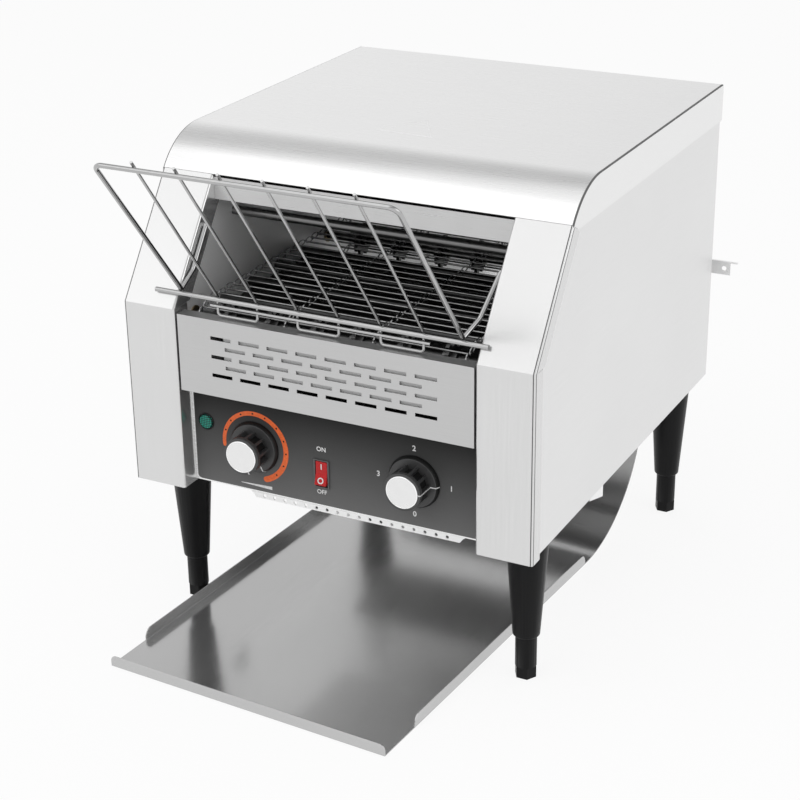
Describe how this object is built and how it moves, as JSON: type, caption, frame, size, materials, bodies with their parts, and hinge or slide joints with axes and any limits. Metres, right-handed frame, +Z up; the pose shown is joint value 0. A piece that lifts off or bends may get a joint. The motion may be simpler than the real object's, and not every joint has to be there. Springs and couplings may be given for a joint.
{
  "type": "conveyor toaster",
  "caption": "Countertop conveyor toaster: steel housing on tapered legs, wire belt between heating tubes, hinged wire feed rack, dial controls and a loose tray that catches the toast.",
  "frame": {"origin": "bottom centre of the whole object's bounding box, on the worktop under the feet and the tray", "axes": "+Z up, +Y towards the back, +X to the right as seen from the front"},
  "size_m": [0.4014, 0.5504, 0.4451],
  "materials": {
    "stainless": "brushed",
    "tray_steel": "bright rolled",
    "bright_steel": "bright rolled",
    "fascia_film": "matte printed film",
    "quartz": "frosted tube",
    "black_steel": "blackened wire",
    "bronze": "sintered bronze",
    "motor_metal": "zinc and paint",
    "sprocket_steel": "machined",
    "chain_steel": "oiled",
    "black_plastic": "satin",
    "green_lens": "clear green",
    "red_plastic": "glossy red",
    "body_plastic": "moulded",
    "knob_plastic": "satin",
    "cap_aluminium": "spun",
    "white_plastic": "moulded",
    "screw_steel": "plated",
    "rack_chrome": "polished",
    "leg_plastic": "satin black"
  },
  "bodies": {
    "casing": {"top_cover": "stainless", "rear_panel": "stainless", "base_plate": "stainless", "base_grille": "stainless", "vent_panel": "stainless", "control_panel": "stainless", "control_fascia": "fascia_film", "upper_reflector": "bright_steel", "lower_reflector": "bright_steel", "upper_tubes": "quartz", "lower_tubes": "quartz", "element_holders": "black_steel", "service_deck": "bright_steel", "drop_wall": "bright_steel", "rear_guide": "bright_steel", "conveyor_belt": "black_steel", "shaft_bushes": "bronze", "gear_motor": "motor_metal", "drive_chain": "chain_steel", "fan_housing": "black_plastic", "lamp_bezel": "black_plastic", "lamp_lens": "green_lens", "switch_housing": "black_plastic", "colour_control": "body_plastic", "selector_switch": "body_plastic", "terminal_block": "white_plastic", "cable_gland": "black_plastic", "rear_screws": "screw_steel", "column_left": "stainless", "column_right": "stainless", "side_panel_left": "stainless", "side_panel_right": "stainless", "chamber_wall_left": "bright_steel", "chamber_wall_right": "bright_steel", "spacer_left": "stainless", "spacer_right": "stainless", "leg_front_left": "leg_plastic", "leg_front_right": "leg_plastic", "leg_rear_left": "leg_plastic", "leg_rear_right": "leg_plastic"},
    "feed_rack": {"rack_frame": "rack_chrome", "rack_wires": "rack_chrome", "rack_arms": "rack_chrome"},
    "tray": {"toast_tray": "tray_steel"},
    "colour_dial": {"colour_knob": "knob_plastic", "colour_knob_cap": "cap_aluminium"},
    "selector_dial": {"selector_knob": "knob_plastic", "selector_knob_cap": "cap_aluminium"},
    "rocker": {"power_rocker": "red_plastic"},
    "driven_shaft": {"rear_shaft": "black_steel"},
    "idle_shaft": {"front_shaft": "black_steel"},
    "motor_shaft": {"motor_sprocket": "sprocket_steel"},
    "rotor": {"fan_rotor": "black_plastic"},
    "levelling_front_left": {"foot_front_left": "leg_plastic"},
    "levelling_front_right": {"foot_front_right": "leg_plastic"},
    "levelling_rear_left": {"foot_rear_left": "leg_plastic"},
    "levelling_rear_right": {"foot_rear_right": "leg_plastic"}
  },
  "joints": [
    {"name": "rack_hinge", "type": "hinge", "parent": "casing", "child": "feed_rack", "pos_m": [0, -0.1148, 0.3475], "axis": [-1, 0, 0], "range_deg": [0, 45]},
    {"name": "tray_slide", "type": "slide", "parent": "casing", "child": "tray", "axis": [0, -1, 0], "range_m": [0, 0.25]},
    {"name": "colour_turn", "type": "hinge", "parent": "casing", "child": "colour_dial", "pos_m": [-0.0748, -0.1658, 0.1725], "axis": [0, -1, 0], "range_deg": [0, 270]},
    {"name": "selector_turn", "type": "hinge", "parent": "casing", "child": "selector_dial", "pos_m": [0.0733, -0.1658, 0.1718], "axis": [0, -1, 0], "range_deg": [-90, 180]},
    {"name": "power_press", "type": "hinge", "parent": "casing", "child": "rocker", "pos_m": [-0.01155, -0.1448, 0.1609], "axis": [1, 0, 0], "range_deg": [0, 18]},
    {"name": "belt_drive", "type": "hinge", "parent": "casing", "child": "driven_shaft", "pos_m": [0, 0.0922, 0.276], "axis": [-1, 0, 0], "continuous": true},
    {"name": "belt_idle", "type": "hinge", "parent": "casing", "child": "idle_shaft", "pos_m": [0, -0.1338, 0.276], "axis": [-1, 0, 0], "continuous": true},
    {"name": "motor_turn", "type": "hinge", "parent": "casing", "child": "motor_shaft", "pos_m": [0.16, 0.0342, 0.178], "axis": [-1, 0, 0], "continuous": true},
    {"name": "fan_turn", "type": "hinge", "parent": "casing", "child": "rotor", "pos_m": [0.0185, -0.0538, 0.145], "axis": [0, 0, 1], "continuous": true},
    {"name": "level_front_left", "type": "slide", "parent": "casing", "child": "levelling_front_left", "axis": [0, 0, 1], "range_m": [0, 0.026]},
    {"name": "level_front_right", "type": "slide", "parent": "casing", "child": "levelling_front_right", "axis": [0, 0, 1], "range_m": [0, 0.026]},
    {"name": "level_rear_left", "type": "slide", "parent": "casing", "child": "levelling_rear_left", "axis": [0, 0, 1], "range_m": [0, 0.026]},
    {"name": "level_rear_right", "type": "slide", "parent": "casing", "child": "levelling_rear_right", "axis": [0, 0, 1], "range_m": [0, 0.026]}
  ],
  "couplings": [
    {"joint": "belt_idle", "follows": "belt_drive", "ratio": 1},
    {"joint": "motor_turn", "follows": "belt_drive", "ratio": 1.25}
  ]
}
